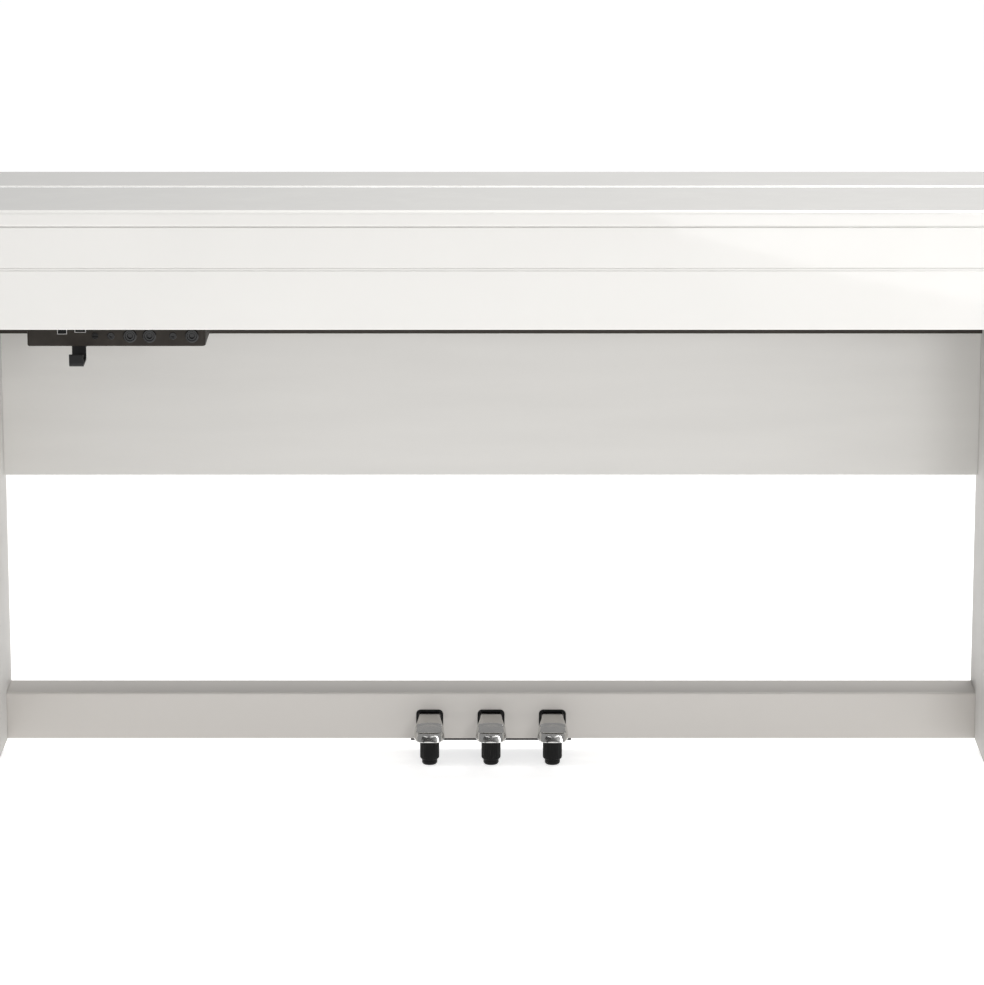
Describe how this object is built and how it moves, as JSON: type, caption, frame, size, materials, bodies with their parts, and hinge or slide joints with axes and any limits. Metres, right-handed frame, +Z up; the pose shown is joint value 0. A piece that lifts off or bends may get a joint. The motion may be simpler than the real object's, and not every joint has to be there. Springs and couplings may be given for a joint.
{
  "type": "digital piano on stand",
  "caption": "Slim cabinet digital piano with a folding lid over a full keyboard, slab sides, a rear panel and a low pedal rail.",
  "frame": {"origin": "on the floor, under the middle of the cabinet", "axes": "+Z up, +X towards the treble end, front towards -Y"},
  "size_m": [1.378, 0.312, 0.778],
  "materials": {
    "white_lacquer": "gloss white lacquer over board",
    "backing_board": "white foil over board",
    "black_plastic": "moulded black",
    "charcoal_plastic": "fine moulded texture",
    "panel_plastic": "satin dark grey",
    "smoked_window": "smoked gloss",
    "hinge_metal": "white powder coat",
    "sheet_steel": "black powder coat",
    "bright_steel": "plain steel",
    "pedal_chrome": "polished chrome",
    "speaker_plastic": "black",
    "circuit_board": "green board",
    "rubber_dots": "soft rubber",
    "key_felt": "red felt",
    "rail_wood": "plain beech",
    "natural_white": "satin ivory white",
    "sharp_black": "satin black"
  },
  "bodies": {
    "cabinet": {"left_side_panel": "white_lacquer", "right_side_panel": "white_lacquer", "panel_feet": "black_plastic", "rear_panel": "white_lacquer", "bottom_board": "backing_board", "key_slip": "white_lacquer", "rear_top_board": "white_lacquer", "cabinet_back_board": "backing_board", "key_blocks": "backing_board", "key_bed_battens": "backing_board", "lid_hinge_fixed_leaf": "hinge_metal", "lid_bumpers": "rubber_dots", "key_chassis": "sheet_steel", "key_balance_rail": "rail_wood", "key_stop_felt": "key_felt", "control_panel": "panel_plastic", "display_window": "smoked_window", "speakers": "speaker_plastic", "main_board": "circuit_board", "jack_box": "charcoal_plastic", "phones_jack": "black_plastic", "output_jacks": "black_plastic", "mini_jacks": "black_plastic", "usb_ports": "bright_steel", "headphone_hook": "sheet_steel", "dc_inlet": "black_plastic", "pedal_rail": "white_lacquer", "pedal_rail_back": "backing_board", "pedal_bezels": "black_plastic", "pedal_base_plate": "sheet_steel", "pedal_pivot_rod": "bright_steel", "pedal_springs": "bright_steel", "cabinet_screws": "bright_steel"},
    "lid": {"lid_panel": "white_lacquer", "lid_hinge_lid_leaf": "hinge_metal", "flap_hinge_lid_leaves": "hinge_metal"},
    "flap": {"lid_front_flap": "white_lacquer", "flap_hinge_flap_leaves": "hinge_metal"},
    "keys_c": {"keys_c": "natural_white"},
    "keys_c_sharp": {"keys_c_sharp": "sharp_black"},
    "keys_d": {"keys_d": "natural_white"},
    "keys_d_sharp": {"keys_d_sharp": "sharp_black"},
    "keys_e": {"keys_e": "natural_white"},
    "keys_f": {"keys_f": "natural_white"},
    "keys_f_sharp": {"keys_f_sharp": "sharp_black"},
    "keys_g": {"keys_g": "natural_white"},
    "keys_g_sharp": {"keys_g_sharp": "sharp_black"},
    "keys_a": {"keys_a": "natural_white"},
    "keys_a_sharp": {"keys_a_sharp": "sharp_black"},
    "keys_b": {"keys_b": "natural_white"},
    "left_pedal": {"left_pedal": "pedal_chrome"},
    "middle_pedal": {"middle_pedal": "pedal_chrome"},
    "right_pedal": {"right_pedal": "pedal_chrome"},
    "left_adjuster": {"left_adjuster": "black_plastic"},
    "middle_adjuster": {"middle_adjuster": "black_plastic"},
    "right_adjuster": {"right_adjuster": "black_plastic"},
    "power_button": {"power_button": "panel_plastic"},
    "tone_button": {"tone_button": "panel_plastic"},
    "metronome_button": {"metronome_button": "panel_plastic"},
    "volume_knob": {"volume_knob": "panel_plastic"}
  },
  "joints": [
    {"name": "lid_open", "type": "hinge", "parent": "cabinet", "child": "lid", "pos_m": [0, 0.033, 0.7738], "axis": [-1, 0, 0], "range_deg": [0, 100]},
    {"name": "flap_fold", "type": "hinge", "parent": "lid", "child": "flap", "pos_m": [0, -0.135, 0.756], "axis": [1, 0, 0], "range_deg": [0, 90]},
    {"name": "press_c", "type": "hinge", "parent": "cabinet", "child": "keys_c", "pos_m": [0, 0.094, 0.703], "axis": [1, 0, 0], "range_deg": [0, 2.5], "stiffness_Nm_per_rad": 4, "springref_deg": -22.92},
    {"name": "press_c_sharp", "type": "hinge", "parent": "cabinet", "child": "keys_c_sharp", "pos_m": [0, 0.094, 0.703], "axis": [1, 0, 0], "range_deg": [0, 2.5], "stiffness_Nm_per_rad": 4, "springref_deg": -22.92},
    {"name": "press_d", "type": "hinge", "parent": "cabinet", "child": "keys_d", "pos_m": [0, 0.094, 0.703], "axis": [1, 0, 0], "range_deg": [0, 2.5], "stiffness_Nm_per_rad": 4, "springref_deg": -22.92},
    {"name": "press_d_sharp", "type": "hinge", "parent": "cabinet", "child": "keys_d_sharp", "pos_m": [0, 0.094, 0.703], "axis": [1, 0, 0], "range_deg": [0, 2.5], "stiffness_Nm_per_rad": 4, "springref_deg": -22.92},
    {"name": "press_e", "type": "hinge", "parent": "cabinet", "child": "keys_e", "pos_m": [0, 0.094, 0.703], "axis": [1, 0, 0], "range_deg": [0, 2.5], "stiffness_Nm_per_rad": 4, "springref_deg": -22.92},
    {"name": "press_f", "type": "hinge", "parent": "cabinet", "child": "keys_f", "pos_m": [0, 0.094, 0.703], "axis": [1, 0, 0], "range_deg": [0, 2.5], "stiffness_Nm_per_rad": 4, "springref_deg": -22.92},
    {"name": "press_f_sharp", "type": "hinge", "parent": "cabinet", "child": "keys_f_sharp", "pos_m": [0, 0.094, 0.703], "axis": [1, 0, 0], "range_deg": [0, 2.5], "stiffness_Nm_per_rad": 4, "springref_deg": -22.92},
    {"name": "press_g", "type": "hinge", "parent": "cabinet", "child": "keys_g", "pos_m": [0, 0.094, 0.703], "axis": [1, 0, 0], "range_deg": [0, 2.5], "stiffness_Nm_per_rad": 4, "springref_deg": -22.92},
    {"name": "press_g_sharp", "type": "hinge", "parent": "cabinet", "child": "keys_g_sharp", "pos_m": [0, 0.094, 0.703], "axis": [1, 0, 0], "range_deg": [0, 2.5], "stiffness_Nm_per_rad": 4, "springref_deg": -22.92},
    {"name": "press_a", "type": "hinge", "parent": "cabinet", "child": "keys_a", "pos_m": [0, 0.094, 0.703], "axis": [1, 0, 0], "range_deg": [0, 2.5], "stiffness_Nm_per_rad": 4, "springref_deg": -22.92},
    {"name": "press_a_sharp", "type": "hinge", "parent": "cabinet", "child": "keys_a_sharp", "pos_m": [0, 0.094, 0.703], "axis": [1, 0, 0], "range_deg": [0, 2.5], "stiffness_Nm_per_rad": 4, "springref_deg": -22.92},
    {"name": "press_b", "type": "hinge", "parent": "cabinet", "child": "keys_b", "pos_m": [0, 0.094, 0.703], "axis": [1, 0, 0], "range_deg": [0, 2.5], "stiffness_Nm_per_rad": 4, "springref_deg": -22.92},
    {"name": "left_pedal_press", "type": "hinge", "parent": "cabinet", "child": "left_pedal", "pos_m": [-0.081, 0.132, 0.058], "axis": [1, 0, 0], "range_deg": [0, 7], "stiffness_Nm_per_rad": 12, "springref_deg": -5.73},
    {"name": "middle_pedal_press", "type": "hinge", "parent": "cabinet", "child": "middle_pedal", "pos_m": [0, 0.132, 0.058], "axis": [1, 0, 0], "range_deg": [0, 7], "stiffness_Nm_per_rad": 12, "springref_deg": -5.73},
    {"name": "right_pedal_press", "type": "hinge", "parent": "cabinet", "child": "right_pedal", "pos_m": [0.081, 0.132, 0.058], "axis": [1, 0, 0], "range_deg": [0, 7], "stiffness_Nm_per_rad": 12, "springref_deg": -5.73},
    {"name": "left_adjuster_screw", "type": "slide", "parent": "cabinet", "child": "left_adjuster", "axis": [0, 0, 1], "range_m": [0, 0.004]},
    {"name": "middle_adjuster_screw", "type": "slide", "parent": "cabinet", "child": "middle_adjuster", "axis": [0, 0, 1], "range_m": [0, 0.004]},
    {"name": "right_adjuster_screw", "type": "slide", "parent": "cabinet", "child": "right_adjuster", "axis": [0, 0, 1], "range_m": [0, 0.004]},
    {"name": "power_button_press", "type": "slide", "parent": "cabinet", "child": "power_button", "axis": [0, 0.5391, -0.8423], "range_m": [0, 0.0015], "stiffness_N_per_m": 400, "springref_m": -0.0015},
    {"name": "tone_button_press", "type": "slide", "parent": "cabinet", "child": "tone_button", "axis": [0, 0.5391, -0.8423], "range_m": [0, 0.0015], "stiffness_N_per_m": 400, "springref_m": -0.0015},
    {"name": "metronome_button_press", "type": "slide", "parent": "cabinet", "child": "metronome_button", "axis": [0, 0.5391, -0.8423], "range_m": [0, 0.0015], "stiffness_N_per_m": 400, "springref_m": -0.0015},
    {"name": "volume_turn", "type": "hinge", "parent": "cabinet", "child": "volume_knob", "pos_m": [-0.45, 0.0205, 0.745], "axis": [0, -0.5391, 0.8423], "range_deg": [0, 270]}
  ],
  "couplings": [
    {"joint": "flap_fold", "follows": "lid_open", "ratio": 0.899}
  ]
}
